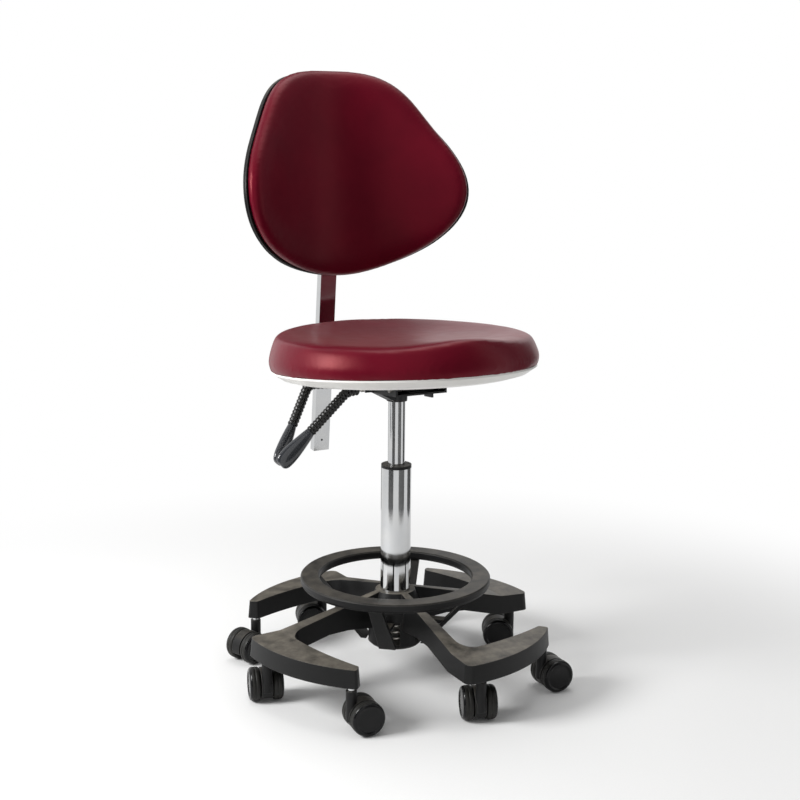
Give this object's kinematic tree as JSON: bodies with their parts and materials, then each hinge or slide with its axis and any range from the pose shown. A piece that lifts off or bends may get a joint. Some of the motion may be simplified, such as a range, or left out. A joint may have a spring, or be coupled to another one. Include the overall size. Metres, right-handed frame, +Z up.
{
  "type": "rolling stool",
  "caption": "Rolling work stool with a contoured round seat, hollow backrest, gas lift, foot-control ring and a hooked four-arm base on twin-wheel casters.",
  "frame": {"origin": "middle of the stool's box, on the floor", "axes": "+Z up, -Y to the front (the way the sitter faces), +X to the sitter's left"},
  "size_m": [0.5289, 0.5584, 1.0007],
  "materials": {
    "black_moulding": "satin moulded black",
    "chrome": "polished",
    "black_steel": "black powder coat",
    "steel": "plain",
    "white_plastic": "white moulded",
    "maroon_leather": "fine-grained maroon cover",
    "plywood": "plain",
    "black_rubber": "ribbed",
    "grey_gloss": "glossy dark grey",
    "wheel_black": "moulded wheel"
  },
  "bodies": {
    "base": {"base_frame": "black_moulding", "hub_cover": "black_moulding", "column_tube": "chrome", "column_bush": "black_moulding", "thrust_bearing": "steel", "return_spring": "steel"},
    "foot_control": {"foot_ring": "black_moulding", "release_rod": "steel"},
    "lift_rod": {"piston_rod": "steel"},
    "mechanism": {"gas_cylinder": "chrome", "tilt_housing": "black_steel", "pivot_pins": "steel"},
    "seat": {"seat_plate": "black_steel", "seat_pan": "white_plastic", "seat_board": "plywood", "seat_cushion": "maroon_leather", "seat_bolts": "steel"},
    "bracket": {"back_bracket": "black_steel", "back_clamp_bolt": "chrome"},
    "back": {"back_bar": "chrome", "back_shell": "black_moulding", "back_pad": "maroon_leather"},
    "seat_lever": {"seat_lever_rod": "steel", "seat_lever_sleeve": "black_rubber", "seat_lever_paddle": "grey_gloss"},
    "back_lever": {"back_lever_rod": "steel", "back_lever_sleeve": "black_rubber", "back_lever_paddle": "grey_gloss"},
    "right_elbow_caster": {"right_elbow_caster_hood": "black_moulding", "right_elbow_caster_stem": "chrome"},
    "right_elbow_caster_wheels": {"right_elbow_caster_wheels": "wheel_black"},
    "right_tip_caster": {"right_tip_caster_hood": "black_moulding", "right_tip_caster_stem": "chrome"},
    "right_tip_caster_wheels": {"right_tip_caster_wheels": "wheel_black"},
    "front_elbow_caster": {"front_elbow_caster_hood": "black_moulding", "front_elbow_caster_stem": "chrome"},
    "front_elbow_caster_wheels": {"front_elbow_caster_wheels": "wheel_black"},
    "front_tip_caster": {"front_tip_caster_hood": "black_moulding", "front_tip_caster_stem": "chrome"},
    "front_tip_caster_wheels": {"front_tip_caster_wheels": "wheel_black"},
    "left_elbow_caster": {"left_elbow_caster_hood": "black_moulding", "left_elbow_caster_stem": "chrome"},
    "left_elbow_caster_wheels": {"left_elbow_caster_wheels": "wheel_black"},
    "left_tip_caster": {"left_tip_caster_hood": "black_moulding", "left_tip_caster_stem": "chrome"},
    "left_tip_caster_wheels": {"left_tip_caster_wheels": "wheel_black"},
    "rear_elbow_caster": {"rear_elbow_caster_hood": "black_moulding", "rear_elbow_caster_stem": "chrome"},
    "rear_elbow_caster_wheels": {"rear_elbow_caster_wheels": "wheel_black"},
    "rear_tip_caster": {"rear_tip_caster_hood": "black_moulding", "rear_tip_caster_stem": "chrome"},
    "rear_tip_caster_wheels": {"rear_tip_caster_wheels": "wheel_black"}
  },
  "joints": [
    {"name": "foot_press", "type": "slide", "parent": "base", "child": "foot_control", "axis": [0, 0, -1], "range_m": [0, 0.008], "stiffness_N_per_m": 8000, "springref_m": -0.005, "deforming": ["return_spring"]},
    {"name": "seat_swivel", "type": "hinge", "parent": "base", "child": "lift_rod", "pos_m": [0.00447, -0.01923, 0.1], "axis": [0, 0, 1], "continuous": true},
    {"name": "seat_lift", "type": "slide", "parent": "lift_rod", "child": "mechanism", "axis": [0, 0, 1], "range_m": [-0.1, 0]},
    {"name": "seat_tilt", "type": "hinge", "parent": "mechanism", "child": "seat", "pos_m": [0.00447, -0.08159, 0.50192], "axis": [1, 0, 0], "range_deg": [0, 5]},
    {"name": "back_tilt", "type": "hinge", "parent": "mechanism", "child": "bracket", "pos_m": [0.00447, 0.08187, 0.48856], "axis": [1, 0, 0], "range_deg": [-12, 4]},
    {"name": "back_height", "type": "slide", "parent": "bracket", "child": "back", "axis": [0, -0.0974, 0.9952], "range_m": [-0.02, 0.09]},
    {"name": "seat_lever_lift", "type": "hinge", "parent": "mechanism", "child": "seat_lever", "pos_m": [-0.04953, -0.01694, 0.49483], "axis": [0, 0.9969, -0.0785], "range_deg": [0, 6]},
    {"name": "back_lever_lift", "type": "hinge", "parent": "mechanism", "child": "back_lever", "pos_m": [-0.04953, 0.0678, 0.48816], "axis": [0, 0.9969, -0.0785], "range_deg": [0, 6]},
    {"name": "right_elbow_caster_swivel", "type": "hinge", "parent": "base", "child": "right_elbow_caster", "pos_m": [-0.23778, -0.0383, 0.072], "axis": [0, 0, 1], "continuous": true},
    {"name": "right_elbow_caster_roll", "type": "hinge", "parent": "right_elbow_caster", "child": "right_elbow_caster_wheels", "pos_m": [-0.23226, -0.01907, 0.027], "axis": [-0.9613, 0.2756, 0], "continuous": true},
    {"name": "right_tip_caster_swivel", "type": "hinge", "parent": "base", "child": "right_tip_caster", "pos_m": [-0.16884, -0.19871, 0.072], "axis": [0, 0, 1], "continuous": true},
    {"name": "right_tip_caster_roll", "type": "hinge", "parent": "right_tip_caster", "child": "right_tip_caster_wheels", "pos_m": [-0.14895, -0.2008, 0.027], "axis": [0.1045, 0.9945, 0], "continuous": true},
    {"name": "front_elbow_caster_swivel", "type": "hinge", "parent": "base", "child": "front_elbow_caster", "pos_m": [0.02354, -0.26148, 0.072], "axis": [0, 0, 1], "continuous": true},
    {"name": "front_elbow_caster_roll", "type": "hinge", "parent": "front_elbow_caster", "child": "front_elbow_caster_wheels", "pos_m": [0.03071, -0.24281, 0.027], "axis": [-0.9336, 0.3584, 0], "continuous": true},
    {"name": "front_tip_caster_swivel", "type": "hinge", "parent": "base", "child": "front_tip_caster", "pos_m": [0.18395, -0.19255, 0.072], "axis": [0, 0, 1], "continuous": true},
    {"name": "front_tip_caster_roll", "type": "hinge", "parent": "front_tip_caster", "child": "front_tip_caster_wheels", "pos_m": [0.20387, -0.19429, 0.027], "axis": [0.0872, 0.9962, 0], "continuous": true},
    {"name": "left_elbow_caster_swivel", "type": "hinge", "parent": "base", "child": "left_elbow_caster", "pos_m": [0.24672, -0.00017, 0.072], "axis": [0, 0, 1], "continuous": true},
    {"name": "left_elbow_caster_roll", "type": "hinge", "parent": "left_elbow_caster", "child": "left_elbow_caster_wheels", "pos_m": [0.22923, 0.00953, 0.027], "axis": [-0.4848, -0.8746, 0], "continuous": true},
    {"name": "left_tip_caster_swivel", "type": "hinge", "parent": "base", "child": "left_tip_caster", "pos_m": [0.17779, 0.16024, 0.072], "axis": [0, 0, 1], "continuous": true},
    {"name": "left_tip_caster_roll", "type": "hinge", "parent": "left_tip_caster", "child": "left_tip_caster_wheels", "pos_m": [0.16749, 0.17739, 0.027], "axis": [-0.8572, -0.515, 0], "continuous": true},
    {"name": "rear_elbow_caster_swivel", "type": "hinge", "parent": "base", "child": "rear_elbow_caster", "pos_m": [-0.01459, 0.22302, 0.072], "axis": [0, 0, 1], "continuous": true},
    {"name": "rear_elbow_caster_roll", "type": "hinge", "parent": "rear_elbow_caster", "child": "rear_elbow_caster_wheels", "pos_m": [-0.0335, 0.22953, 0.027], "axis": [-0.3256, -0.9455, 0], "continuous": true},
    {"name": "rear_tip_caster_swivel", "type": "hinge", "parent": "base", "child": "rear_tip_caster", "pos_m": [-0.175, 0.15408, 0.072], "axis": [0, 0, 1], "continuous": true},
    {"name": "rear_tip_caster_roll", "type": "hinge", "parent": "rear_tip_caster", "child": "rear_tip_caster_wheels", "pos_m": [-0.19402, 0.14791, 0.027], "axis": [0.309, -0.9511, 0], "continuous": true}
  ]
}
